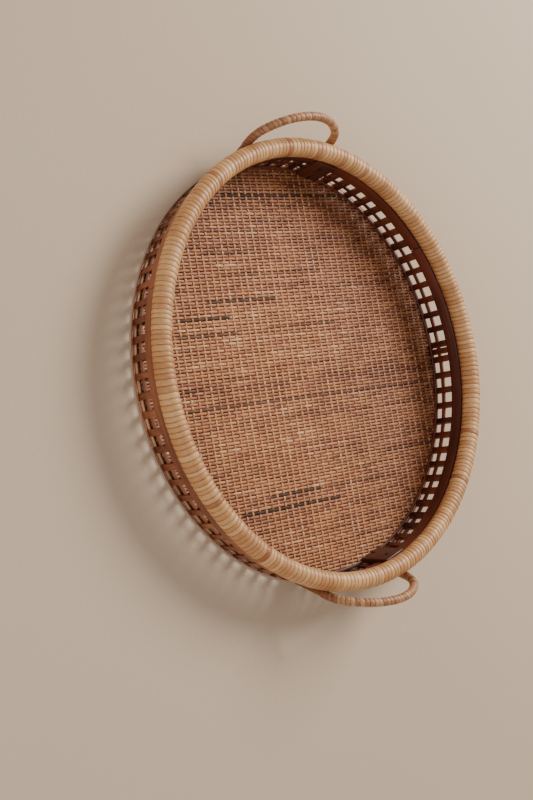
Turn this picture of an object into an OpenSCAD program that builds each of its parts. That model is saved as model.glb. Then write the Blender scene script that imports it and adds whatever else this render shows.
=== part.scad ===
// Round rattan serving tray: woven base, open gallery wall, wrapped rim, two bent loop handles.
// Origin: centre of the underside. +Z up, the handles stand at the two ends of the X axis.

/* [Rim] */
// Diameter of the ring on which the rim pole is bent, centre to centre
rim_d = 380; // [240:1:520]
// Diameter of the rim pole
rim_core_d = 12.8; // [9:0.1:18]
// Thickness of the peel wrapped round the rim pole
rim_wrap_t = 2.0; // [0.8:0.1:3]
// Diameter of the pins that hold the rim on the wall
pin_d = 1.0; // [0.8:0.1:1.4]
// Length of a rim pin
pin_len = 13; // [9:0.5:16]

/* [Wall] */
// Outward lean of the wall from upright, in degrees
wall_lean = 7.1; // [0:0.1:12]
// Number of staves round the gallery
stave_count = 78; // [48:1:110]
// Width of a stave
stave_w = 5.6; // [3:0.1:7]
// Thickness of a stave
stave_t = 1.3; // [0.8:0.1:2]
// Thickness of the strips held between the two layers of staves
spacer_t = 2.0; // [1.6:0.1:3]
// Height of the strip between the staves at the foot of the wall
low_strip_h = 2.5; // [1.8:0.1:6]
// Height of the lower row of openings
lower_row_h = 6.1; // [4:0.1:20]
// Height of the middle strip between the two rows
mid_hoop_h = 3.4; // [2:0.1:8]
// Height of the upper row of openings
upper_row_h = 10; // [5:0.1:25]
// Height of the upper hoops below the rim
upper_hoop_h = 10.6; // [8:0.1:20]
// Thickness of the upper hoops
hoop_t = 1.8; // [1.2:0.1:3]
// Width of the butt joint left in each bent hoop
hoop_joint = 0.4; // [0.2:0.1:1]
// Diameter of the brads through the upper hoops
hoop_brad_d = 1.4; // [1:0.1:2]

/* [Bottom] */
// Height of the bottom outer ring
ring_h = 1.6; // [1.2:0.1:3]
// Thickness of the bottom outer ring
ring_t = 1.0; // [0.8:0.1:3]
// Height of the lower inner hoop above the woven base
lower_hoop_h = 1.0; // [0.8:0.1:4]
// Thickness of the lower inner hoop
lower_hoop_t = 2.6; // [1.5:0.1:4]
// Diameter of the brads through the bottom ring
ring_brad_d = 0.6; // [0.5:0.1:0.8]
// Thickness of the battens and the ring under the woven base
batten_t = 1.6; // [1:0.1:4]
// Width of a batten
batten_w = 14; // [8:0.5:24]
// Number of battens
batten_count = 3; // [1:1:6]
// Width of the ring under the edge of the base
under_ring_w = 7; // [4:0.5:14]

/* [Woven base] */
// Distance between the long strands that run between the handles
warp_pitch = 7.85; // [5:0.05:14]
// Width of a long strand
warp_w = 2.2; // [1:0.1:4]
// Distance between the strands that cross them
weft_pitch = 2.8; // [2:0.05:6]
// Width of a cross strand
weft_w = 2.5; // [1:0.05:5]
// Thickness of one strand
strand_t = 1.2; // [0.6:0.1:2]

/* [Handles] */
// Distance between the two legs of a handle, centre to centre
handle_span = 100; // [70:1:130]
// Height of the arch above the level where its legs end
handle_rise = 35; // [26:0.5:60]
// Radius of the bends at the shoulders of the arch
handle_shoulder_r = 24; // [14:0.5:26]
// Outward lean of the handle from upright, in degrees
handle_lean = 24; // [12:0.5:35]
// Diameter of the handle pole
handle_core_d = 6.2; // [5:0.1:9]
// Thickness of the peel wrapped round the handle pole
handle_wrap_t = 0.75; // [0.5:0.05:1.2]
// Clearance between the rim and a wrapped leg
handle_clear = 1.0; // [0.4:0.1:3]
// Depth of the arch's springing below the middle of the rim
handle_drop = 4; // [0:0.5:8]
// Width of a leg board inside the gallery
board_w = 25; // [16:0.5:32]
// Thickness of a leg board
board_t = 4.6; // [3:0.1:7]
// Diameter of the nails through a leg board
nail_d = 1.8; // [1.4:0.1:2.4]
// Diameter of a nail head
nail_head_d = 3.8; // [3:0.1:5]
// Thickness of a nail head
nail_head_t = 0.8; // [0.5:0.1:1.2]

/* [Hidden] */
$fn = 48;
// fineness of the wide rings
wide = 180;

// how far a brad's ends lie below the surfaces
sink = 0.3;
// overshoot of cuts past the surfaces that they open
over = 1;
// every how many staves a hoop is nailed
brad_step = 3;
// every how many openings a rim pin stands
pin_step = 6;
// gap between the staves' lower ends and the floor
stave_gap = 0.3;
// gap round pieces that only lie beside each other
slip = 0.3;
// how far the handle pole runs on below its lower nail
leg_tail = 3;
// gap between one length of the handle's peel and the next
wrap_joint = 0.05;
// how much the handle pole swells, in radius, where it is bent most
pole_swell = 0.02;
// how far the straighter lengths of the pole run into its bends
pole_lap = 0.5;

rim_r = rim_d / 2;
rim_out_r = rim_core_d / 2 + rim_wrap_t;
base_z = batten_t;
base_top = base_z + 2 * strand_t;
mid_z = low_strip_h + lower_row_h;
upper_row_z = mid_z + mid_hoop_h;
hoop_z = upper_row_z + upper_row_h;
rim_z = hoop_z + upper_hoop_h + rim_out_r;
slope = tan(wall_lean);
pitch = 360 / stave_count;

// offsets of the wall's layers from its middle line, outward positive
in_stave = [-spacer_t / 2 - stave_t, -spacer_t / 2];
spacer = [-spacer_t / 2, spacer_t / 2];
out_stave = [spacer_t / 2, spacer_t / 2 + stave_t];
in_hoop = [in_stave[0] - hoop_t, in_stave[0]];
out_hoop = [out_stave[1], out_stave[1] + hoop_t];
low_hoop = [in_stave[0] - lower_hoop_t, in_stave[0]];
ring = [out_stave[1], out_stave[1] + ring_t];

// heights of the fastenings
hoop_brad_z = hoop_z + 0.75 * upper_hoop_h;
nail_up_z = hoop_z + nail_d / 2 + 1.2;
nail_low_z = mid_z - nail_d / 2 - slip;
ring_brad_z = (ring_h + stave_gap) / 2;
pin_z = nail_up_z + nail_d / 2 + 0.6;

// radius of the wall's middle line at height z: the line runs to the centre of the rim
function wall_r(z) = rim_r - slope * (rim_z - z);
base_r = wall_r(base_z) + in_stave[0] - slip;
// radii that clear the whole wall, for drilling through it
inside_r = wall_r(0) + low_hoop[0] - over;
outside_r = rim_r + rim_out_r;

// handle: arch in a plane that leans outward, with legs down the outside of the wall
half_span = handle_span / 2;
handle_bore_r = handle_core_d / 2 + pole_swell;
handle_out_r = handle_core_d / 2 + handle_wrap_t;
rim_edge_x = sqrt(pow(outside_r, 2) - pow(half_span, 2));
handle_x = rim_edge_x + handle_clear + handle_out_r / cos(handle_lean);
arch_r = (pow(half_span, 2) + pow(handle_rise, 2) - 2 * half_span * handle_shoulder_r)
    / (2 * (handle_rise - handle_shoulder_r));
shoulder_turn = atan2(arch_r - handle_rise, half_span - handle_shoulder_r);
leg_end_z = nail_low_z - leg_tail;
leg_len = (rim_z - handle_drop - leg_end_z) / cos(handle_lean);
wrap_leg_len = (rim_out_r + 1 - handle_drop) / cos(handle_lean);

// x of the leg's centre line at height z, its distance from the Z axis, and its direction
function leg_x(z) = handle_x - (rim_z - z) * tan(handle_lean);
function leg_r(z) = sqrt(pow(leg_x(z), 2) + pow(half_span, 2));
function leg_turn(z) = atan2(half_span, leg_x(z));
board_turn = leg_turn((nail_up_z + nail_low_z) / 2);

cane = "#c89a63";
cane_dark = "#8a5632";
cane_red = "#6b3420";
cane_pale = "#d8b483";
steel = "#6e6a66";

// a layer of the wall in section, between heights z0 and z1
module layer(offs, z0, z1)
    polygon([
        [wall_r(z0) + offs[0], z0],
        [wall_r(z0) + offs[1], z0],
        [wall_r(z1) + offs[1], z1],
        [wall_r(z1) + offs[0], z1]
    ]);

// a layer of the wall in section that runs up against the underside of the rim
module layer_to_rim(offs, z0)
    difference() {
        layer(offs, z0, rim_z);
        translate([rim_r, rim_z]) circle(r = rim_out_r, $fn = 48);
    }

// a bent hoop with a butt joint over the opening of the given number
module hoop(opening) {
    gap = hoop_joint / rim_r * 180 / PI;
    rotate((opening + 0.5) * pitch + gap / 2)
        rotate_extrude(angle = 360 - gap, $fn = wide)
            children();
}

// a rod that lies along the radius at height z, from radius r0 to r1
module rod(turn, z, d, r0, r1)
    rotate(turn) translate([r0, 0, z]) rotate([0, 90, 0]) cylinder(d = d, h = r1 - r0);

// the children repeated at every stave that takes a brad
module each_braded(first)
    for (i = [first : brad_step : stave_count - 1])
        rotate(i * pitch) children();

module hoop_rods(r0, r1)
    each_braded(1) rod(0, hoop_brad_z, hoop_brad_d, r0, r1);

module ring_rods(r0, r1)
    each_braded(0) rod(0, ring_brad_z, ring_brad_d, r0, r1);

// the shanks of the four nails of both handles at one height
module nail_rods(z, r0, r1)
    for (side = [0, 180], leg = [-1, 1])
        rod(side + leg * leg_turn(z), z, nail_d, r0, r1);

// holes for the fastenings of the upper hoops
module upper_holes() {
    hoop_rods(inside_r, outside_r);
    nail_rods(nail_up_z, inside_r, outside_r);
}

// the pins stand in the wall's middle line and run up into the rim pole
module pin_rods()
    for (i = [0 : pin_step : stave_count - 1])
        rotate((i + 0.5) * pitch)
            translate([wall_r(pin_z), 0, pin_z])
                rotate([0, wall_lean, 0]) cylinder(d = pin_d, h = pin_len);

// Rim

module rim_core()
    color(cane_dark) difference() {
        hoop(9) translate([rim_r, rim_z]) circle(d = rim_core_d, $fn = 48);
        pin_rods();
    }

module rim_wrap()
    color(cane) difference() {
        rotate_extrude($fn = wide) translate([rim_r, rim_z]) difference() {
            circle(r = rim_out_r, $fn = 48);
            circle(d = rim_core_d, $fn = 48);
        }
        pin_rods();
    }

module rim_pins()
    color(steel) pin_rods();

// Upper hoops

module upper_inner_hoop()
    color(cane_red) difference() {
        hoop(26) layer_to_rim(in_hoop, hoop_z);
        upper_holes();
    }

module upper_outer_hoop()
    color(cane_dark) difference() {
        hoop(53) layer_to_rim(out_hoop, hoop_z);
        upper_holes();
    }

module upper_spacer_hoop()
    color(cane_dark) difference() {
        hoop(67) layer_to_rim(spacer, hoop_z);
        upper_holes();
        pin_rods();
    }

// Staves

// one stave of the given layer, at its place in the circle, drilled for whatever nail meets it
module stave(i, offs) {
    turn = stave_w / rim_r * 180 / PI;
    bare = leg_turn(nail_up_z) + turn;
    difference() {
        rotate(i * pitch - turn / 2)
            rotate_extrude(angle = turn, $fn = 4 * wide) layer_to_rim(offs, stave_gap);
        if (i % brad_step == 1) rod(i * pitch, hoop_brad_z, hoop_brad_d, inside_r, outside_r);
        if (i % brad_step == 0) rod(i * pitch, ring_brad_z, ring_brad_d, inside_r, outside_r);
        if (abs(sin(i * pitch)) < sin(bare)) {
            nail_rods(nail_up_z, inside_r, outside_r);
            nail_rods(nail_low_z, inside_r, outside_r);
        }
    }
}

module staves(offs)
    for (i = [0 : stave_count - 1]) stave(i, offs);

module inner_staves()
    color(cane_red) staves(in_stave);

module outer_staves()
    color(cane_dark) staves(out_stave);

module middle_hoop()
    color(cane_red) hoop(20) layer(spacer, mid_z, upper_row_z);

// Bottom rings

module lower_inner_hoop()
    color(cane_dark) hoop(45) layer(low_hoop, base_top, base_top + lower_hoop_h);

module lower_spacer_hoop()
    color(cane_dark) difference() {
        hoop(31) layer(spacer, stave_gap, low_strip_h);
        ring_rods(inside_r, outside_r);
    }

module bottom_outer_ring()
    color(cane) difference() {
        hoop(58) layer(ring, 0, ring_h);
        ring_rods(inside_r, outside_r);
    }

// Brads

module hoop_brads()
    color(steel)
        hoop_rods(
            wall_r(hoop_brad_z) + in_hoop[0] + sink,
            wall_r(hoop_brad_z) + out_hoop[1] - sink
        );

module ring_brads()
    color(steel)
        ring_rods(
            wall_r(ring_brad_z) + in_stave[0] + sink,
            wall_r(ring_brad_z) + ring[1] - sink
        );

// Woven base: the two sets of strands lie one on the other

// parallel strips across the round of the base, the middle one on the centre line
module strips(step, w, z) {
    side = floor((base_r - w) / step);
    for (i = [-side : side])
        intersection() {
            translate([-base_r, i * step - w / 2, z]) cube([2 * base_r, w, strand_t]);
            translate([0, 0, z]) cylinder(r = base_r, h = strand_t, $fn = wide);
        }
}

module base_warps()
    color(cane_pale) strips(warp_pitch, warp_w, base_z + strand_t);

module base_wefts()
    color(cane) rotate(90) strips(weft_pitch, weft_w, base_z);

module base_under_ring()
    color(cane_dark) rotate_extrude($fn = wide) translate([base_r - under_ring_w, 0])
        square([under_ring_w - slope * base_z - slip, batten_t]);

module base_battens()
    color(cane_dark) {
        reach = base_r - under_ring_w - slip;
        step = 2 * reach / (batten_count + 1);
        for (i = [1 : batten_count])
            intersection() {
                translate([-reach + i * step - batten_w / 2, -reach, 0])
                    cube([batten_w, 2 * reach, batten_t]);
                cylinder(r = reach, h = batten_t, $fn = wide);
            }
    }

// Handles

// part of a bend in the YZ plane, centred at [y, z], between two angles, with the children as section
module bend(y, z, r, a0, a1)
    translate([0, y, z]) rotate([90, 0, 90]) rotate(a0)
        rotate_extrude(angle = a1 - a0, $fn = wide)
            translate([r, 0]) children();

// the handle's path, a three-centred arch on two straight legs: the first child is the section of the
// legs and the top of the arch, the second that of the shoulders; lap is how far the first run into
// the second, and below zero it is the gap left between them
module handle_path(leg, lap)
    translate([handle_x, 0, rim_z]) rotate([0, handle_lean, 0])
        translate([0, 0, -handle_drop / cos(handle_lean)]) {
            shoulder_y = half_span - handle_shoulder_r;
            top_turn = shoulder_turn - lap / arch_r * 180 / PI;
            for (side = [-1, 1])
                translate([0, side * half_span, -leg]) linear_extrude(leg + lap) children(0);
            bend(0, handle_rise - arch_r, arch_r, top_turn, 180 - top_turn) children(0);
            bend(shoulder_y, 0, handle_shoulder_r, 0, shoulder_turn) children(1);
            bend(-shoulder_y, 0, handle_shoulder_r, 180 - shoulder_turn, 180) children(1);
        }

// the outside of the wall as a solid of revolution, against which the legs are scarfed
module wall_outside()
    rotate_extrude($fn = wide) {
        layer([-rim_r / 2, out_stave[1]], 0, rim_z);
        layer([0, out_hoop[1]], hoop_z, rim_z);
    }

module right_handle_core()
    color(cane_dark) difference() {
        handle_path(leg_len, pole_lap) {
            circle(d = handle_core_d, $fn = 32);
            circle(r = handle_bore_r, $fn = 32);
        }
        wall_outside();
        nail_rods(nail_up_z, rim_r / 2, leg_r(nail_up_z) + handle_core_d / 4);
        nail_rods(nail_low_z, rim_r / 2, leg_r(nail_low_z) + handle_core_d / 4);
    }

// the peel's section
module peel()
    difference() {
        circle(r = handle_out_r, $fn = 32);
        circle(r = handle_bore_r, $fn = 32);
    }

module right_handle_wrap()
    color(cane) handle_path(wrap_leg_len, -wrap_joint) {
        peel();
        peel();
    }

// flat boards inside the gallery, scribed to the staves, the hoops and the rim
module right_leg_boards()
    color(cane_red) difference() {
        for (leg = [-1, 1])
            rotate([90, 0, leg * board_turn]) translate([0, 0, -board_w / 2])
                linear_extrude(board_w)
                    layer([in_stave[0] - board_t, 0], base_top, hoop_z + upper_hoop_h);
        rotate_extrude($fn = 2 * wide) {
            layer([in_stave[0], rim_out_r], 0, rim_z);
            layer([low_hoop[0], 0], base_top, base_top + lower_hoop_h);
            layer([in_hoop[0], 0], hoop_z, rim_z);
            translate([rim_r, rim_z]) circle(r = rim_out_r, $fn = 48);
        }
        nail_rods(nail_up_z, rim_r / 2, rim_r);
        nail_rods(nail_low_z, rim_r / 2, rim_r);
    }

// the face of the leg boards at height z, where a nail head sits
function board_face_r(z) =
    (wall_r(z) + in_stave[0] - board_t) / cos(leg_turn(z) - board_turn);

module nail(z, leg) {
    lift = nail_head_d / 2 * tan(wall_lean + 1);
    rotate(leg * leg_turn(z))
        translate([board_face_r(z) - lift, 0, z]) rotate([0, 90, 0]) {
            cylinder(d = nail_d, h = leg_r(z) + handle_core_d / 4 - board_face_r(z) + lift);
            translate([0, 0, -nail_head_t]) cylinder(d = nail_head_d, h = nail_head_t);
        }
}

module right_handle_nails()
    color(steel)
        for (leg = [-1, 1]) {
            nail(nail_up_z, leg);
            nail(nail_low_z, leg);
        }

module left_handle_core() rotate(180) right_handle_core();
module left_handle_wrap() rotate(180) right_handle_wrap();
module left_leg_boards() rotate(180) right_leg_boards();
module left_handle_nails() rotate(180) right_handle_nails();

rim_core();
rim_wrap();
rim_pins();
upper_inner_hoop();
upper_outer_hoop();
upper_spacer_hoop();
inner_staves();
outer_staves();
middle_hoop();
lower_inner_hoop();
lower_spacer_hoop();
bottom_outer_ring();
hoop_brads();
ring_brads();
base_warps();
base_wefts();
base_under_ring();
base_battens();
left_handle_core();
left_handle_wrap();
left_leg_boards();
left_handle_nails();
right_handle_core();
right_handle_wrap();
right_leg_boards();
right_handle_nails();
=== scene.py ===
import math
import random

import bmesh
import bpy
import numpy as np
from mathutils import Matrix, Vector


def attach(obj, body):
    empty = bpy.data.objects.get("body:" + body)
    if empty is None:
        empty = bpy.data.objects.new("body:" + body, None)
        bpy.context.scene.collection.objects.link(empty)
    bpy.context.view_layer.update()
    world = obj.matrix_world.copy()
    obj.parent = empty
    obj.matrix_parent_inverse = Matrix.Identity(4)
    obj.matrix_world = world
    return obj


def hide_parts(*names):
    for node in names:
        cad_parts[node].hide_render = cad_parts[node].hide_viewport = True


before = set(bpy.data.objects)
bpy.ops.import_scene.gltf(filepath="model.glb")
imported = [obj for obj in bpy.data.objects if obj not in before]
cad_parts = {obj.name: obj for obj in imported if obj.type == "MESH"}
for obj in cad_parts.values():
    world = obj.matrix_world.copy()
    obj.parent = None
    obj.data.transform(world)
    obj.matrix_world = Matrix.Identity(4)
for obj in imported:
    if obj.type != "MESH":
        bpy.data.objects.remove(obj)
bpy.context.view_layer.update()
mm = 0.001
fullTurn = 2 * math.pi
print("frame loaded")

# shader helpers


def tint(red, green, blue):  # a display colour, 0 to 255, as the linear colour that shaders take
    def linear(c):
        c = c / 255
        return c / 12.92 if c <= 0.04045 else ((c + 0.055) / 1.055) ** 2.4

    return (linear(red), linear(green), linear(blue), 1.0)


class Sock:  # a socket that can be used in sums
    def __init__(self, look, out):
        self.look = look
        self.out = out

    def op(self, kind, a, b):
        return self.look.node("ShaderNodeMath", {"operation": kind}, {0: a, 1: b})

    def __add__(self, o):
        return self.op("ADD", self, o)

    def __radd__(self, o):
        return self.op("ADD", o, self)

    def __sub__(self, o):
        return self.op("SUBTRACT", self, o)

    def __rsub__(self, o):
        return self.op("SUBTRACT", o, self)

    def __mul__(self, o):
        return self.op("MULTIPLY", self, o)

    def __rmul__(self, o):
        return self.op("MULTIPLY", o, self)

    def apply(self, kind):  # an operation on this value alone
        return self.look.node("ShaderNodeMath", {"operation": kind}, {0: self})


class Look:  # a material and the nodes that it's made of
    def __init__(self, name):
        self.material = bpy.data.materials.new(name)
        self.material.use_nodes = True
        self.tree = self.material.node_tree
        self.shader = self.tree.nodes["Principled BSDF"]

    def feed(self, socket, value):
        if isinstance(value, Sock):
            self.tree.links.new(value.out, socket)
        else:
            socket.default_value = value

    def node(self, kind, settings, sockets, out=0):
        made = self.tree.nodes.new(kind)
        for key, value in settings.items():
            setattr(made, key, value)
        for key, value in sockets.items():
            self.feed(made.inputs[key], value)
        return Sock(self, made.outputs[out])

    def place(self):
        return self.node("ShaderNodeTexCoord", {}, {}, "Object")

    def uv(self):
        return self.node("ShaderNodeTexCoord", {}, {}, "UV")

    def value(self, name):
        return self.node("ShaderNodeAttribute", {"attribute_name": name}, {}, "Fac")

    def axis(self, vector, number):
        return self.node("ShaderNodeSeparateXYZ", {}, {0: vector}, number)

    def vector(self, x, y, z):
        return self.node("ShaderNodeCombineXYZ", {}, {0: x, 1: y, 2: z})

    def stretch(self, vector, x, y, z):
        return self.node("ShaderNodeVectorMath", {"operation": "MULTIPLY"}, {0: vector, 1: (x, y, z)})

    def noise(self, vector, scale, detail=3.0):
        return self.node("ShaderNodeTexNoise", {}, {"Vector": vector, "Scale": scale, "Detail": detail})

    def between(self, value, low, high):  # 0 below low, 1 above high, smooth from one to the other
        return self.node(
            "ShaderNodeMapRange",
            {"interpolation_type": "SMOOTHSTEP"},
            {"Value": value, "From Min": low, "From Max": high},
        )

    def mix(self, share, a, b):  # sockets 6 and 7 and output 2 are the Mix node's colours
        return self.node("ShaderNodeMix", {"data_type": "RGBA"}, {0: share, 6: a, 7: b}, 2)

    def finish(self, colour, rough, height, depth, coat=0.0, coatRough=0.3):
        self.feed(self.shader.inputs["Base Color"], colour)
        self.feed(self.shader.inputs["Roughness"], rough)
        self.shader.inputs["Coat Weight"].default_value = coat
        self.shader.inputs["Coat Roughness"].default_value = coatRough
        self.shader.inputs["Specular IOR Level"].default_value = 0.45
        bump = self.node("ShaderNodeBump", {}, {"Height": height, "Distance": depth})
        self.feed(self.shader.inputs["Normal"], bump)
        return self.material


# materials


def peelLook(name, pale, mid, groove, odd, grime):  # narrow glossy skin strips, wound side by side
    k = Look(name)
    uv = k.uv()
    strandTone = k.value("tone")
    across, along = k.axis(uv, 0), k.axis(uv, 1)
    edge = ((across.apply("FRACT") - 0.5) * 2.0).apply("ABSOLUTE")  # 0 on a crest, 1 in a groove
    own = k.vector(across, along + strandTone * 40.0, 0.0)
    fine = k.noise(k.stretch(own, 11.0, 1.3, 1.0), 1.0, 4.0)
    broad = k.noise(k.stretch(own, 1.7, 0.5, 1.0), 1.0, 2.0)
    patches = k.noise(k.place(), 34.0, 3.0)
    ragged = edge + (fine - 0.5) * 0.16
    colour = k.mix(k.between(strandTone * 0.62 + broad * 0.38, 0.2, 0.8), pale, mid)
    colour = k.mix(k.between(fine, 0.48, 0.76) * 0.45, colour, groove)
    colour = k.mix(k.between(patches, 0.46, 0.72) * 0.5, colour, grime)
    colour = k.mix(k.value("odd"), colour, odd)
    marks = k.between(k.noise(k.stretch(own, 2.6, 3.1, 1.0), 1.0, 1.0), 0.68, 0.77)
    colour = k.mix(marks * 0.5, colour, groove)
    # painted shade in the grooves between wound strands: the colour darkens towards the groove colour
    # and then to a near-black line, more in some places than others
    grooveShadeStrength = k.between(k.noise(k.stretch(own, 0.9, 0.22, 1.0), 1.0, 2.0), 0.3, 0.68)
    colour = k.mix(k.between(ragged, 0.66, 1.0) * (0.25 + grooveShadeStrength * 0.5), colour, groove)
    colour = k.mix(k.between(ragged, 0.88, 0.99) * (0.2 + grooveShadeStrength * 0.75), colour, tint(66, 32, 18))
    rough = 0.36 + fine * 0.2
    height = fine * 0.35 - k.between(edge, 0.6, 1.0)
    return k.finish(colour, rough, height, 0.0002, 0.16, 0.32)


def splitLook(name, dark, light, spot, along, rough=0.42, outer=None):  # along is the grain's stretch
    k = Look(name)
    place = k.place()
    grain = k.noise(k.stretch(place, *along), 1.0, 5.0)
    broad = k.noise(place, 24.0, 3.0)
    stain = k.noise(place, 90.0, 3.0)
    share = grain * 0.55 + broad * 0.3 + k.value("tone") * 0.3
    colour = k.mix(k.between(share, 0.38, 0.78), dark, light)
    colour = k.mix(k.between(stain, 0.6, 0.8) * 0.45, colour, spot)
    if outer:  # the colour of the side that faces out of the tray
        colour = k.mix(k.value("outer") * (0.6 + grain * 0.4), colour, outer)
    return k.finish(colour, rough + grain * 0.18, grain, 0.00015, 0.22, 0.35)


def strandLook(name, tones, gap, dark):  # flat-oval cane strands of the woven base
    k = Look(name)
    place = k.place()
    tone = k.value("tone")
    crest = k.value("crest")
    fibre = k.noise(k.stretch(place, 1500.0, 1500.0, 300.0), 1.0, 2.0)
    patch = k.noise(place, 55.0, 4.0)
    low, mid, high = tones
    colour = k.mix(k.between(tone * 0.8 + patch * 0.35, 0.18, 0.62), low, mid)
    colour = k.mix(k.between(tone * 0.85 + patch * 0.3, 0.62, 1.02), colour, high)
    colour = k.mix(k.between(fibre, 0.5, 0.75) * 0.22, colour, gap)
    # painted shade at each strand's edges, where it meets its neighbours, towards the gap colour
    colour = k.mix((1.0 - k.between(crest, 0.0, 0.75)) * 0.75, colour, gap)
    # painted shade across the base, darker and redder towards -X and +Y
    colour = k.mix(k.value("paintedShade"), colour, tint(80, 32, 20))
    stain = k.value("stain")
    colour = k.mix(stain, colour, dark)
    rough = 0.44 + fibre * 0.16 + stain * 0.25
    return k.finish(colour, rough, fibre, 0.0001, 0.12, 0.3)


def steelLook(name):
    k = Look(name)
    place = k.place()
    rust = k.between(k.noise(place, 700.0, 3.0), 0.42, 0.62)
    colour = k.mix(rust, tint(40, 34, 32), tint(78, 48, 34))
    k.shader.inputs["Metallic"].default_value = 0.6
    return k.finish(colour, 0.38 + rust * 0.3, rust, 0.00008)


bentGrain = (18.0, 18.0, 520.0)
uprightGrain = (620.0, 620.0, 22.0)
# each peel's third colour is its groove colour: streaks and marks, and painted shade in the grooves
# between strands
rimPeel = peelLook(
    "rimPeel", tint(228, 180, 124), tint(202, 146, 92), tint(140, 80, 44), tint(156, 88, 52),
    tint(174, 110, 64),
)
handlePeel = peelLook(
    "handlePeel", tint(208, 158, 114), tint(172, 116, 76), tint(100, 54, 32), tint(122, 68, 44),
    tint(142, 86, 56),
)
redSplit = splitLook(
    "redSplit", tint(66, 26, 17), tint(112, 50, 30), tint(44, 18, 13), bentGrain
)
middleSplit = splitLook(
    "middleSplit", tint(66, 26, 17), tint(112, 50, 30), tint(44, 18, 13), bentGrain,
    outer=tint(160, 98, 64),
)
redStave = splitLook(
    "redStave", tint(70, 28, 18), tint(118, 54, 32), tint(46, 19, 13), uprightGrain
)
brownSplit = splitLook(
    "brownSplit", tint(112, 58, 38), tint(172, 106, 72), tint(78, 38, 25), bentGrain
)
brownStave = splitLook(
    "brownStave", tint(120, 62, 41), tint(178, 110, 74), tint(84, 41, 27), uprightGrain
)
boardSplit = splitLook(
    "boardSplit", tint(66, 27, 17), tint(104, 50, 32), tint(40, 17, 12), (420.0, 420.0, 16.0), 0.34
)
# painted light: a pale split that stands in for the light falling through the lower openings onto the
# spacer's top
paintedLightSplit = splitLook(
    "paintedLightSplit", tint(150, 100, 64), tint(214, 170, 124), tint(110, 66, 40), bentGrain
)
poleCane = splitLook(
    "poleCane", tint(128, 76, 42), tint(186, 128, 78), tint(84, 46, 26), (300.0, 300.0, 40.0)
)
# each cane's gap colour gives streaks in the fibre and painted shade at the strand edges
weftCane = strandLook(
    "weftCane", (tint(126, 66, 38), tint(190, 122, 76), tint(234, 182, 136)), tint(112, 55, 32),
    tint(24, 12, 8),
)
warpCane = strandLook(
    "warpCane", (tint(162, 100, 60), tint(206, 148, 94), tint(230, 182, 132)), tint(118, 60, 34),
    tint(60, 34, 22),
)
darkSteel = steelLook("darkSteel")
print("materials made")

# modelling helpers

wall = {
    "rimR": 190 * mm, "rimZ": 41 * mm, "slope": math.tan(math.radians(7.1)), "staves": 78,
    "joint": 0.45 * mm,
}


def wallR(z):  # radius of the wall's middle line at height z
    return wall["rimR"] - wall["slope"] * (wall["rimZ"] - z)


def setValues(mesh, name, values):
    layer = mesh.attributes.new(name, "FLOAT", "POINT")
    layer.data.foreach_set("value", np.asarray(values, np.float32))


def points(mesh):
    flat = np.empty(len(mesh.vertices) * 3)
    mesh.vertices.foreach_get("co", flat)
    return flat.reshape(-1, 3)


def setPoints(mesh, co):
    mesh.vertices.foreach_set("co", co.ravel())
    mesh.update()


def meshFrom(name, bm):
    bmesh.ops.recalc_face_normals(bm, faces=bm.faces)
    mesh = bpy.data.meshes.new(name)
    bm.to_mesh(mesh)
    bm.free()
    mesh.polygons.foreach_set("use_smooth", [True] * len(mesh.polygons))
    return mesh


def addPiece(mesh, material, slot, *nodes):
    mesh.materials.append(material)
    piece = bpy.data.objects.new(mesh.name, mesh)
    bpy.context.scene.collection.objects.link(piece)
    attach(piece, "root")
    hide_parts(*nodes)
    print(mesh.name, len(mesh.polygons), "faces")


def turnVerts(bm, verts, angle):
    bmesh.ops.rotate(bm, cent=(0, 0, 0), matrix=Matrix.Rotation(angle, 3, "Z"), verts=verts)


def closeEnds(bm):
    bmesh.ops.edgeloop_fill(bm, edges=[e for e in bm.edges if e.is_boundary])


def repeat(bm, times, place):  # copies of all that bm holds, the one numbered i moved by place(i)
    first = bm.verts[:] + bm.edges[:] + bm.faces[:]
    for i in range(1, times + 1):
        made = bmesh.ops.duplicate(bm, geom=first)["geom"]
        verts = [v for v in made if isinstance(v, bmesh.types.BMVert)]
        bmesh.ops.transform(bm, matrix=place(i), verts=verts)


def bevelEdges(bm, edges, width, segments):
    bmesh.ops.bevel(
        bm, geom=edges, offset=width, segments=segments, profile=0.5, affect="EDGES", material=-1,
        clamp_overlap=True,
    )


def softenEdges(bm, width, segments):
    sharpest = 0.6
    sharp = [e for e in bm.edges if e.is_manifold and e.calc_face_angle() > sharpest]
    bevelEdges(bm, sharp, width, segments)


def unevenEdges(rng, count, uneven, whole):  # where the strips of a winding begin and end
    widths = 1 + uneven * np.clip(rng.standard_normal(count), -1.6, 1.6)
    return np.concatenate([[0], np.cumsum(widths)]) / widths.sum() * whole


def crown(share):  # height of a wound strip across its width: 0 in the groove, 1 on the crest
    return np.clip(1 - np.abs(2 * share - 1) ** 3.2, 0, 1)


def uvs(mesh, across, along, alongTurn, acrossTurn):  # one UV per corner, kept whole where a turn closes
    corner = np.empty(len(mesh.loops), int)
    mesh.loops.foreach_get("vertex_index", corner)
    size = np.empty(len(mesh.polygons), int)
    mesh.polygons.foreach_get("loop_total", size)
    face = np.repeat(np.arange(len(size)), size)
    result = []
    for values, whole in ((across, acrossTurn), (along, alongTurn)):
        v = values[corner]
        top = np.full(len(size), -1e9)
        np.maximum.at(top, face, v)
        result.append(np.where(top[face] - v > whole / 2, v + whole, v))
    layer = mesh.uv_layers.new(name="strip")
    layer.data.foreach_set("uv", np.stack(result, 1).astype(np.float32).ravel())


# rim: one long strip wound round the pole

rim = {
    "tube": 8.4 * mm, "strands": 278, "perStrand": 6, "around": 24, "groove": 0.42 * mm,
    "lift": 0.13 * mm, "uneven": 0.14, "slant": 0.75, "oddShare": 0.035, "uvTurn": 53, "seed": 5,
}


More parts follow.
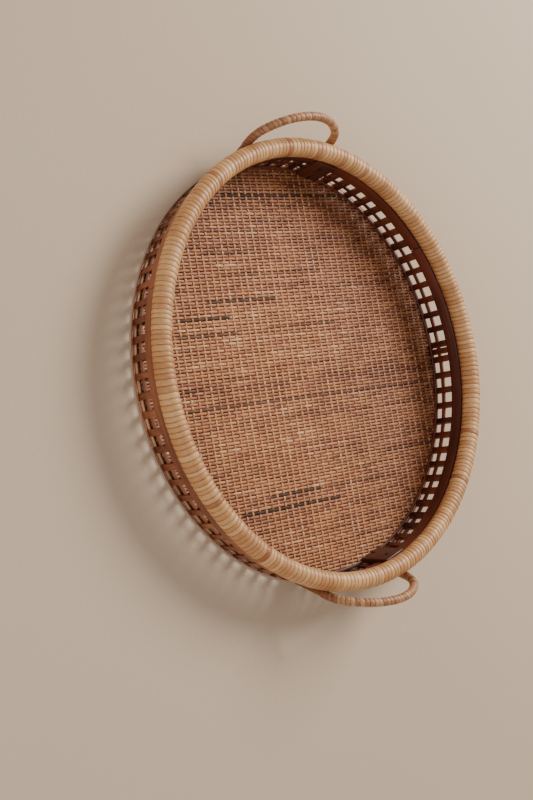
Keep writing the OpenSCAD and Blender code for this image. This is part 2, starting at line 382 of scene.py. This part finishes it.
def windRim():
    rng = np.random.default_rng(rim["seed"])
    count, per, around = rim["strands"], rim["perStrand"], rim["around"]
    bm = bmesh.new()
    ring = bmesh.ops.create_circle(bm, segments=around, radius=rim["tube"])["verts"]
    upright = Matrix.Translation((wall["rimR"], 0, wall["rimZ"])) @ Matrix.Rotation(math.pi / 2, 4, "X")
    bmesh.ops.transform(bm, matrix=upright, verts=ring)
    bmesh.ops.spin(
        bm, geom=bm.verts[:] + bm.edges[:], cent=(0, 0, 0), axis=(0, 0, 1), angle=fullTurn / count,
        steps=per,
    )
    repeat(bm, count - 1, lambda i: Matrix.Rotation(fullTurn * i / count, 4, "Z"))
    bmesh.ops.remove_doubles(bm, verts=bm.verts, dist=0.01 * mm)
    mesh = meshFrom("rimPeelWound", bm)
    co = points(mesh)
    turn = np.arctan2(co[:, 1], co[:, 0]) % fullTurn
    station = np.rint(turn / fullTurn * count * per).astype(int) % (count * per)
    strand, step = station // per, station % per
    flat = np.hypot(co[:, 0], co[:, 1]) - wall["rimR"]
    lean = (np.arctan2(co[:, 2] - wall["rimZ"], flat) + math.pi / 2) % fullTurn / fullTurn
    lean = np.where(lean > 0.999, 0.0, lean)  # round the pole's section, from 0 underneath to 1
    edges = unevenEdges(rng, count, rim["uneven"], fullTurn)
    share = np.array([0, 0.1, 0.3, 0.5, 0.7, 0.9])[step]
    crest = crown(share)
    skew = np.where(lean < 0.01, 0, lean - 0.5) * rim["slant"] * fullTurn / count
    turn = edges[strand] + (edges[strand + 1] - edges[strand]) * share + skew
    lift = (rng.random(count) * 2 - 1)[strand] * rim["lift"]
    tube = rim["tube"] - (1 - crest) * rim["groove"] + lift * crest
    angle = lean * fullTurn - math.pi / 2
    radius = wall["rimR"] + tube * np.cos(angle)
    co = np.stack([radius * np.cos(turn), radius * np.sin(turn), wall["rimZ"] + tube * np.sin(angle)], 1)
    setPoints(mesh, co)
    wave = np.sin(np.arange(count) * 0.09) * 0.12
    tone = np.clip(rng.random(count) * 0.9 + wave, 0, 1)
    odd = (rng.random(count) < rim["oddShare"]) * (0.45 + 0.4 * rng.random(count))
    setValues(mesh, "tone", tone[strand])
    setValues(mesh, "odd", odd[strand])
    uvs(mesh, strand + share, lean * rim["uvTurn"], rim["uvTurn"], count)
    addPiece(mesh, rimPeel, "peel_wrap", "rim_wrap")


windRim()

# handles: a wound strip on each bent pole

handle = {
    "x": 197.2 * mm, "z": 41.0 * mm, "lean": math.radians(24), "drop": 4 * mm, "span": 50 * mm,
    "shoulder": 24 * mm, "arch": 60.2 * mm, "rise": 35 * mm, "turn": math.radians(44.1),
    "leg": 5.9 * mm, "tube": 3.85 * mm, "strand": 3.9 * mm, "step": 0.65 * mm, "around": 16,
    "groove": 0.42 * mm, "lift": 0.16 * mm, "uneven": 0.12, "slant": 0.3, "foot": 30 * mm,
    "uvTurn": 25,
}


def handlePlane(side):  # from the handle's own plane to the tray; side 0 is +X and 1 is -X
    drop = Matrix.Translation((0, 0, -handle["drop"] / math.cos(handle["lean"])))
    stand = Matrix.Translation((handle["x"], 0, handle["z"])) @ Matrix.Rotation(handle["lean"], 4, "Y")
    return Matrix.Rotation(math.pi * side, 4, "Z") @ stand @ drop


def windHandle(name, side, node):
    h = handle
    rng = np.random.default_rng(21 + side)
    inner = h["span"] - h["shoulder"]
    low = h["rise"] - h["arch"]
    archTurn = math.pi - 2 * h["turn"]
    bm = bmesh.new()
    ring = bmesh.ops.create_circle(bm, segments=h["around"], radius=h["tube"])["verts"]
    bmesh.ops.translate(bm, vec=(0, h["span"], -h["leg"]), verts=ring)
    last = bm.edges[:] + bm.verts[:]

    def run(centre, angle, rise, length):
        steps = max(1, round(length / h["step"]))
        return bmesh.ops.spin(
            bm, geom=last, cent=centre, axis=(1, 0, 0), angle=angle, dvec=(0, 0, rise / steps),
            steps=steps,
        )["geom_last"]

    last = run((0, 0, 0), 0, h["leg"], h["leg"])
    last = run((0, inner, 0), h["turn"], 0, h["shoulder"] * h["turn"])
    last = run((0, 0, low), archTurn, 0, h["arch"] * archTurn)
    last = run((0, -inner, 0), h["turn"], 0, h["shoulder"] * h["turn"])
    last = run((0, 0, 0), 0, -h["leg"], h["leg"])
    closeEnds(bm)
    mesh = meshFrom(name, bm)
    co = points(mesh)
    half = np.where(co[:, 1] >= 0, 1.0, -1.0)
    y = np.abs(co[:, 1])
    bend = np.arctan2(co[:, 2], y - inner)
    over = np.arctan2(co[:, 2] - low, y)
    onLeg = co[:, 2] < 0
    onShoulder = ~onLeg & (bend < h["turn"]) & (y > inner)
    shoulderEnd = h["leg"] + h["shoulder"] * h["turn"]

    def choose(leg, shoulder, arch):
        return np.where(onLeg, leg, np.where(onShoulder, shoulder, arch))

    centreY = choose(h["span"], inner + h["shoulder"] * np.cos(bend), h["arch"] * np.cos(over))
    centreZ = choose(co[:, 2], h["shoulder"] * np.sin(bend), low + h["arch"] * np.sin(over))
    archPath = shoulderEnd + h["arch"] * (over - h["turn"])
    path = choose(h["leg"] + co[:, 2], h["leg"] + h["shoulder"] * bend, archPath)
    whole = 2 * shoulderEnd + h["arch"] * archTurn
    path = np.where(half > 0, path, whole - path)
    count = round(whole / h["strand"])
    edges = unevenEdges(rng, count, h["uneven"], whole)
    centre = np.stack([np.zeros(len(co)), half * centreY, centreZ], 1)
    out = co - centre
    length = np.linalg.norm(out, axis=1, keepdims=True)
    around = np.arctan2(out[:, 0], out[:, 1] * half + out[:, 2])
    path = path + h["strand"] * h["slant"] * np.sin(around)
    strand = np.clip(np.searchsorted(edges, path, side="right") - 1, 0, count - 1)
    share = np.clip((path - edges[strand]) / (edges[strand + 1] - edges[strand]), 0, 1)
    lift = (rng.random(count) - 0.5)[strand] * h["lift"]
    tube = h["tube"] - (1 - crown(share)) * h["groove"] + lift
    co = centre + out / np.maximum(length, 1e-9) * tube[:, None] * (length / h["tube"])
    setPoints(mesh, co)
    foot = np.clip(1 - np.minimum(path, whole - path) / h["foot"], 0, 1)
    setValues(mesh, "tone", np.clip(rng.random(count)[strand] * 0.75 + foot * 0.5, 0, 1))
    setValues(mesh, "odd", np.clip((rng.random(count) < 0.1)[strand] * 0.5 + foot * 0.55, 0, 1))
    uvs(mesh, strand + share, around / fullTurn * h["uvTurn"], h["uvTurn"], 2 * count)
    mesh.transform(handlePlane(side))
    addPiece(mesh, handlePeel, "peel_wrap", node)


windHandle("rightHandlePeel", 0, "right_handle_wrap")
windHandle("leftHandlePeel", 1, "left_handle_wrap")

# hoops: flat splits bent into rings, each with a butt joint


def bendHoop(name, node, material, slot, hoop):
    rng = np.random.default_rng(hoop["seed"])
    inner, outer = hoop["layer"]
    z0, z1 = hoop["heights"]
    pitch = fullTurn / wall["staves"]
    gap = wall["joint"] / wall["rimR"]
    start = (hoop["opening"] + 0.5) * pitch + gap / 2
    bm = bmesh.new()
    bmesh.ops.create_grid(bm, x_segments=1, y_segments=1, size=0.5)
    bmesh.ops.transform(bm, matrix=Matrix.Rotation(math.pi / 2, 4, "X"), verts=bm.verts)
    for v in bm.verts:
        z = (z0, z1)[v.co.z > 0]
        v.co = Vector((wallR(z) + (inner, outer)[v.co.x > 0], 0, z))
    turnVerts(bm, bm.verts, start)
    edges = bm.edges[:]
    bmesh.ops.delete(bm, geom=bm.faces[:], context="FACES_ONLY")
    bmesh.ops.spin(
        bm, geom=bm.verts[:] + edges, cent=(0, 0, 0), axis=(0, 0, 1), angle=fullTurn - gap,
        steps=wall["staves"] * 3,
    )
    closeEnds(bm)
    softenEdges(bm, hoop["round"], 2)
    mesh = meshFrom(name, bm)
    co = points(mesh)
    turn = np.arctan2(co[:, 1], co[:, 0])
    waves = [(rng.integers(3, 24), rng.random() * fullTurn, rng.random()) for _ in range(5)]
    wobble = sum(math.sqrt(3 / w) * a * np.sin(w * turn + p) for w, p, a in waves) * hoop["wobble"]
    co[:, 2] += wobble
    co[:, :2] *= (1 + wobble * 0.6 / wall["rimR"])[:, None]
    setPoints(mesh, co)
    setValues(mesh, "tone", 0.5 + 0.3 * np.sin(turn * 3 + hoop["seed"]))
    layerPlace = np.hypot(co[:, 0], co[:, 1]) - wallR(co[:, 2])
    setValues(mesh, "outer", np.clip(layerPlace / (0.8 * mm), 0, 1))
    addPiece(mesh, material, slot, node)


bendHoop("upperInnerHoop", "upper_inner_hoop", redSplit, "dark_split", {
    "layer": (-4.1 * mm, -2.25 * mm), "heights": (22 * mm, 32.5 * mm), "round": 0.5 * mm,
    "wobble": 0.1 * mm, "opening": 26, "seed": 1,
})
bendHoop("upperOuterHoop", "upper_outer_hoop", brownSplit, "brown_split", {
    "layer": (2.25 * mm, 4.1 * mm), "heights": (22 * mm, 31.8 * mm), "round": 0.5 * mm,
    "wobble": 0.1 * mm, "opening": 53, "seed": 2,
})
bendHoop("upperSpacer", "upper_spacer_hoop", brownSplit, "brown_split", {
    "layer": (-1 * mm, 1 * mm), "heights": (22.3 * mm, 33.6 * mm), "round": 0.3 * mm,
    "wobble": 0.05 * mm, "opening": 67, "seed": 3,
})
bendHoop("middleStrip", "middle_hoop", middleSplit, "dark_split", {
    "layer": (-1 * mm, 1 * mm), "heights": (8.6 * mm, 12 * mm), "round": 0.4 * mm,
    "wobble": 0.14 * mm, "opening": 19, "seed": 4,
})
bendHoop("lowerInnerHoop", "lower_inner_hoop", redSplit, "dark_split", {
    "layer": (-4.9 * mm, -2.25 * mm), "heights": (3.7 * mm, 5 * mm), "round": 0.4 * mm,
    "wobble": 0.08 * mm, "opening": 45, "seed": 5,
})
# the pale finish is painted light on the lower spacer's top
bendHoop("lowerSpacer", "lower_spacer_hoop", paintedLightSplit, "brown_split", {
    "layer": (-1 * mm, 1 * mm), "heights": (0.4 * mm, 2.5 * mm), "round": 0.25 * mm,
    "wobble": 0.04 * mm, "opening": 31, "seed": 6,
})
bendHoop("bottomOuterRing", "bottom_outer_ring", brownSplit, "brown_split", {
    "layer": (2.25 * mm, 3.3 * mm), "heights": (0.12 * mm, 1.6 * mm), "round": 0.3 * mm,
    "wobble": 0.07 * mm, "opening": 58, "seed": 7,
})

# staves: short flat splits, two layers

stave = {
    "w": 5.6 * mm, "t": 1.3 * mm, "bottom": 0.4 * mm, "top": 35 * mm, "round": 0.38 * mm,
    "unevenW": 0.06, "tilt": 0.006, "push": 0.08 * mm, "stray": 0.035,
}


def setStaves(name, node, material, slot, offset, seed, extra):  # extra: staves between the even ones
    rng = random.Random(seed)
    bm = bmesh.new()
    tone = bm.verts.layers.float.new("tone")
    height = stave["top"] - stave["bottom"]
    for i in [*range(wall["staves"]), *extra]:
        made = bmesh.ops.create_cube(bm, size=1.0)["verts"]
        uneven = rng.uniform(1 - stave["unevenW"], 1 + stave["unevenW"])
        size = (stave["t"], stave["w"] * uneven, height)
        bmesh.ops.scale(bm, vec=size, verts=made)
        bmesh.ops.translate(bm, vec=(0, 0, stave["bottom"] + height / 2), verts=made)
        tilt = rng.uniform(-stave["tilt"], stave["tilt"])
        push = rng.uniform(-stave["push"], stave["push"])
        value = rng.random()
        for v in made:
            v.co.y += tilt * v.co.z
            v.co.x += wallR(v.co.z) + offset + push
            v[tone] = value
        turn = (i + rng.uniform(-stave["stray"], stave["stray"])) * fullTurn / wall["staves"]
        turnVerts(bm, made, turn)
    upright = [e for e in bm.edges if abs((e.verts[0].co - e.verts[1].co).normalized().z) > 0.5]
    bevelEdges(bm, upright, stave["round"], 2)
    addPiece(meshFrom(name, bm), material, slot, node)


setStaves("innerStaves", "inner_staves", redStave, "dark_split", -1.65 * mm, 31, [19.55])
setStaves("outerStaves", "outer_staves", brownStave, "brown_split", 1.65 * mm, 32, [])

# boards behind the handle legs, with the nails through them

board = {
    "w": 25 * mm, "layer": (-6.9 * mm, -2.0 * mm), "heights": (3.8 * mm, 33.0 * mm),
    "turn": math.radians(15.0), "nails": (24.1 * mm, 7.4 * mm), "head": 1.9 * mm, "dome": 0.7 * mm,
}


def legBoards(name, node, side):
    bm = bmesh.new()
    for leg in (-1, 1):
        made = bmesh.ops.create_cube(bm, size=1.0)["verts"]
        for v in made:
            z = board["heights"][v.co.z > 0]
            x = wallR(z) + board["layer"][v.co.x > 0]
            v.co = Vector((x, v.co.y * board["w"], z))
        turn = math.pi * side + leg * board["turn"]
        turnVerts(bm, made, turn)
    softenEdges(bm, 0.9 * mm, 3)
    mesh = meshFrom(name, bm)
    # painted light and shade: the boards on the -Y side, which face the key light, get a lighter tone
    # than those on the +Y side
    setValues(mesh, "tone", np.where(points(mesh)[:, 1] > 0, 0.35, 0.6))
    addPiece(mesh, boardSplit, "dark_split", node)


def legNails(name, node, side):
    bm = bmesh.new()
    for leg in (-1, 1):
        for z in board["nails"]:
            made = bmesh.ops.create_uvsphere(bm, u_segments=16, v_segments=10, radius=1.0)["verts"]
            bmesh.ops.scale(bm, vec=(board["dome"], board["head"], board["head"]), verts=made)
            reach = handle["x"] - (handle["z"] - z) * math.tan(handle["lean"])
            turn = math.atan2(handle["span"], reach)
            face = (wallR(z) + board["layer"][0]) / math.cos(turn - board["turn"])
            bmesh.ops.translate(bm, vec=(face - 0.1 * mm, 0, z), verts=made)
            turnVerts(bm, made, math.pi * side + leg * turn)
    addPiece(meshFrom(name, bm), darkSteel, "steel", node)


for side, word in enumerate(("right", "left")):
    legBoards(word + "LegBoards", word + "_leg_boards", side)
    legNails(word + "NailHeads", word + "_handle_nails", side)

# woven base: every strand really passes over and under

weave = {
    "edge": 182.2 * mm, "z": 2.8 * mm, "fade": 3 * mm, "weftPitch": 2.8 * mm, "warpPitch": 7.85 * mm,
    "weftRise": 0.54 * mm, "warpRise": 0.34 * mm, "seed": 77,
}
weft = {"half": 1.36 * mm, "thick": 0.95 * mm, "steps": 186, "side": 64}
warp = {"half": 1.45 * mm, "thick": 0.8 * mm, "steps": 260, "side": 22}
# darker cross strands: place along X, from and to along Y, in mm, and how dark
darkWefts = (
    (-158, -64, 92, 0.92), (-106, -97, -39, 0.55), (-86, -85, 49, 0.5), (-64, -101, -13, 0.85),
    (-49, -138, -73, 0.95), (-37, -139, -66, 0.7), (-39, -34, 54, 0.6), (8, -140, -118, 0.6),
    (26, -144, 178, 0.72), (83, 92, 167, 0.55), (105, -66, 2, 0.95), (105, 2, 80, 0.45),
    (118, -100, 25, 0.95),
)


def laidStrands(strand, pitch, step):  # straight strands along X, side by side in Y, cut to the round
    bm = bmesh.new()
    half, thick = strand["half"], strand["thick"]
    start = -step * strand["steps"] / 2
    section = ((-1, -0.22), (-0.62, 0.36), (0, 0.5), (0.62, 0.36), (1, -0.22))  # shares of half, thick
    made = bmesh.ops.create_circle(bm, segments=5, radius=1.0)["verts"]
    for v, (across, up) in zip(made, section):
        v.co = Vector((start, across * half - strand["side"] * pitch, up * thick))
    bmesh.ops.spin(
        bm, geom=bm.verts[:] + bm.edges[:], cent=(0, 0, 0), axis=(0, 0, 1), angle=0, dvec=(step, 0, 0),
        steps=strand["steps"],
    )
    repeat(bm, 2 * strand["side"], lambda i: Matrix.Translation((0, i * pitch, 0)))
    beyond = [v for v in bm.verts if math.hypot(v.co.x, round(v.co.y / pitch) * pitch) > weave["edge"]]
    bmesh.ops.delete(bm, geom=beyond, context="VERTS")
    closeEnds(bm)
    return bm


def paintedBaseShade(x, y):  # painted shade: the base is darker and redder towards -X and +Y
    return np.clip(y / 0.17, 0, 1) * 0.44 + np.clip((-x - 0.05) / 0.12, 0, 1) * 0.3


def weaveWefts():
    rng = np.random.default_rng(weave["seed"])
    pitch, other = weave["weftPitch"], weave["warpPitch"]
    mesh = meshFrom("baseWefts", laidStrands(weft, pitch, other / 4))
    co = points(mesh)
    along, across = co[:, 0], co[:, 1]
    index = np.rint(across / pitch).astype(int)
    place = (across - index * pitch) / weft["half"]
    odd = np.where(index % 2 == 0, 1.0, -1.0)
    swing = np.cos(math.pi * along / other) * odd
    row = index + weft["side"]
    rows = 2 * weft["side"] + 1
    dash = np.floor((along / other + np.where(odd > 0, 0.5, 1.5)) / 2).astype(int) + 30
    phase = rng.random(rows) * fullTurn
    swell = 1 + 0.07 * np.sin(along * 90 + phase[row] * 3)
    drift = 0.16 * mm * np.sin(along * 25 + phase[row])
    moved = index * pitch + place * weft["half"] * swell + drift
    z = weave["z"] + co[:, 2] + weave["weftRise"] * swing * (1.18 - 0.18 * swing * swing)
    slow = np.convolve(rng.random(rows + 8), np.ones(5) / 5, "same")[4:-4]
    rowTone = np.clip(0.45 * rng.random(rows) + 0.9 * (slow - 0.5) + 0.28, 0, 1)
    dashTone = rng.random((rows, 64))
    tone = 0.52 * rowTone[row] + 0.5 * dashTone[row, dash] ** 1.3
    # the painted shade across the base also lowers the tone
    tone = np.clip(tone - 0.4 * paintedBaseShade(moved, along), 0, 1)
    stain = np.zeros(len(co))
    for x, y0, y1, strength in darkWefts:
        here = index == round(x * mm / pitch)
        begun = np.clip((along - y0 * mm) / weave["fade"], 0, 1)
        inside = begun * np.clip((y1 * mm - along) / weave["fade"], 0, 1)
        flick = 0.82 + 0.18 * dashTone[row, dash]
        stain = np.where(here, np.maximum(stain, inside * strength * flick), stain)
    setPoints(mesh, np.stack([moved, along, z], 1))
    setValues(mesh, "tone", tone)
    setValues(mesh, "crest", 1 - np.abs(place) ** 2)
    setValues(mesh, "stain", stain)
    setValues(mesh, "paintedShade", paintedBaseShade(moved, along))
    mesh.flip_normals()
    addPiece(mesh, weftCane, "weave", "base_wefts")


def weaveWarps():
    rng = np.random.default_rng(weave["seed"] + 1)
    pitch, other = weave["warpPitch"], weave["weftPitch"]
    mesh = meshFrom("baseWarps", laidStrands(warp, pitch, other / 2))
    co = points(mesh)
    along, across = co[:, 0], co[:, 1]
    index = np.rint(across / pitch).astype(int)
    place = (across - index * pitch) / warp["half"]
    odd = np.where(index % 2 == 0, 1.0, -1.0)
    row = index + warp["side"]
    rows = 2 * warp["side"] + 1
    phase = rng.random(rows) * fullTurn
    drift = 0.3 * mm * np.sin(along * 18 + phase[row])
    swell = 1 + 0.08 * np.sin(along * 110 + phase[row] * 2)
    moved = index * pitch + place * warp["half"] * swell + drift
    z = weave["z"] + co[:, 2] - weave["warpRise"] * odd * np.cos(math.pi * along / other)
    cell = np.floor(along / (2 * other)).astype(int) + 60
    tone = 0.5 * rng.random(rows)[row] + 0.5 * rng.random((rows, 130))[row, cell]
    setPoints(mesh, np.stack([along, moved, z], 1))
    setValues(mesh, "tone", tone)
    setValues(mesh, "crest", 1 - np.abs(place) ** 2)
    setValues(mesh, "stain", np.zeros(len(co)))
    setValues(mesh, "paintedShade", paintedBaseShade(along, moved))
    addPiece(mesh, warpCane, "weave", "base_warps")


weaveWefts()
weaveWarps()

# pieces that keep the frame's own mesh, with a fuller finish

finishes = {
    "rim_core": (poleCane, "pole"), "left_handle_core": (poleCane, "pole"),
    "right_handle_core": (poleCane, "pole"), "base_under_ring": (brownSplit, "brown_split"),
    "base_battens": (brownSplit, "brown_split"), "rim_pins": (darkSteel, "steel"),
    "hoop_brads": (darkSteel, "steel"), "ring_brads": (darkSteel, "steel"),
}
for node, (material, slot) in finishes.items():
    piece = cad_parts[node]
    for holder in piece.material_slots:
        holder.material = material

# floor, light and camera


def floorLook():
    k = Look("floor")
    place = k.place()
    cloud = k.noise(place, 1.6, 3.0)
    grit = k.noise(place, 420.0, 2.0)
    colour = k.mix(cloud, tint(202, 181, 157), tint(213, 195, 173))
    colour = k.mix(k.between(grit, 0.55, 0.8) * 0.12, colour, tint(166, 148, 132))
    return k.finish(colour, 0.85, grit, 0.0002)


bm = bmesh.new()
level = Matrix.Translation((0, 0, -0.2 * mm))
bmesh.ops.create_grid(bm, x_segments=1, y_segments=1, size=40, matrix=level)
floorMesh = meshFrom("floor", bm)
floorMesh.materials.append(floorLook())
floor = bpy.data.objects.new("floor", floorMesh)
bpy.context.scene.collection.objects.link(floor)


def softLight(name, place, size, power, colour):  # aimed at the tray's middle
    data = bpy.data.lights.new(name, "AREA")
    data.shape = "DISK"
    data.size = size
    data.energy = power
    data.color = colour
    light = bpy.data.objects.new(name, data)
    light.location = place
    light.rotation_mode = "QUATERNION"
    light.rotation_quaternion = (-Vector(place)).to_track_quat("-Z", "Y")
    bpy.context.scene.collection.objects.link(light)


softLight("key", (-0.85, 1.4, 1.3), 1.1, 52, (1.0, 0.95, 0.88))
softLight("fill", (0.6, -1.9, 1.3), 1.8, 20, (1.0, 0.93, 0.86))

world = bpy.data.worlds.new("room")
bpy.context.scene.world = world
world.use_nodes = True
sky = world.node_tree.nodes["Background"]
sky.inputs["Color"].default_value = tint(214, 203, 192)
sky.inputs["Strength"].default_value = 0.55

camera = bpy.data.objects.new("camera", bpy.data.cameras.new("camera"))
camera.data.lens = 67.5
camera.data.sensor_width = 36
ahead = Vector((-0.0384, 0.6987, -0.7144)).normalized()
above = Vector((-0.9849, 0.0942, 0.1452))
right = ahead.cross(above).normalized()
above = right.cross(ahead)
turned = Matrix((right, above, -ahead)).transposed().to_4x4()
camera.matrix_world = Matrix.Translation((0.0732, -0.9521, 0.9269)) @ turned
bpy.context.scene.collection.objects.link(camera)
bpy.context.scene.camera = camera
print("stage set")
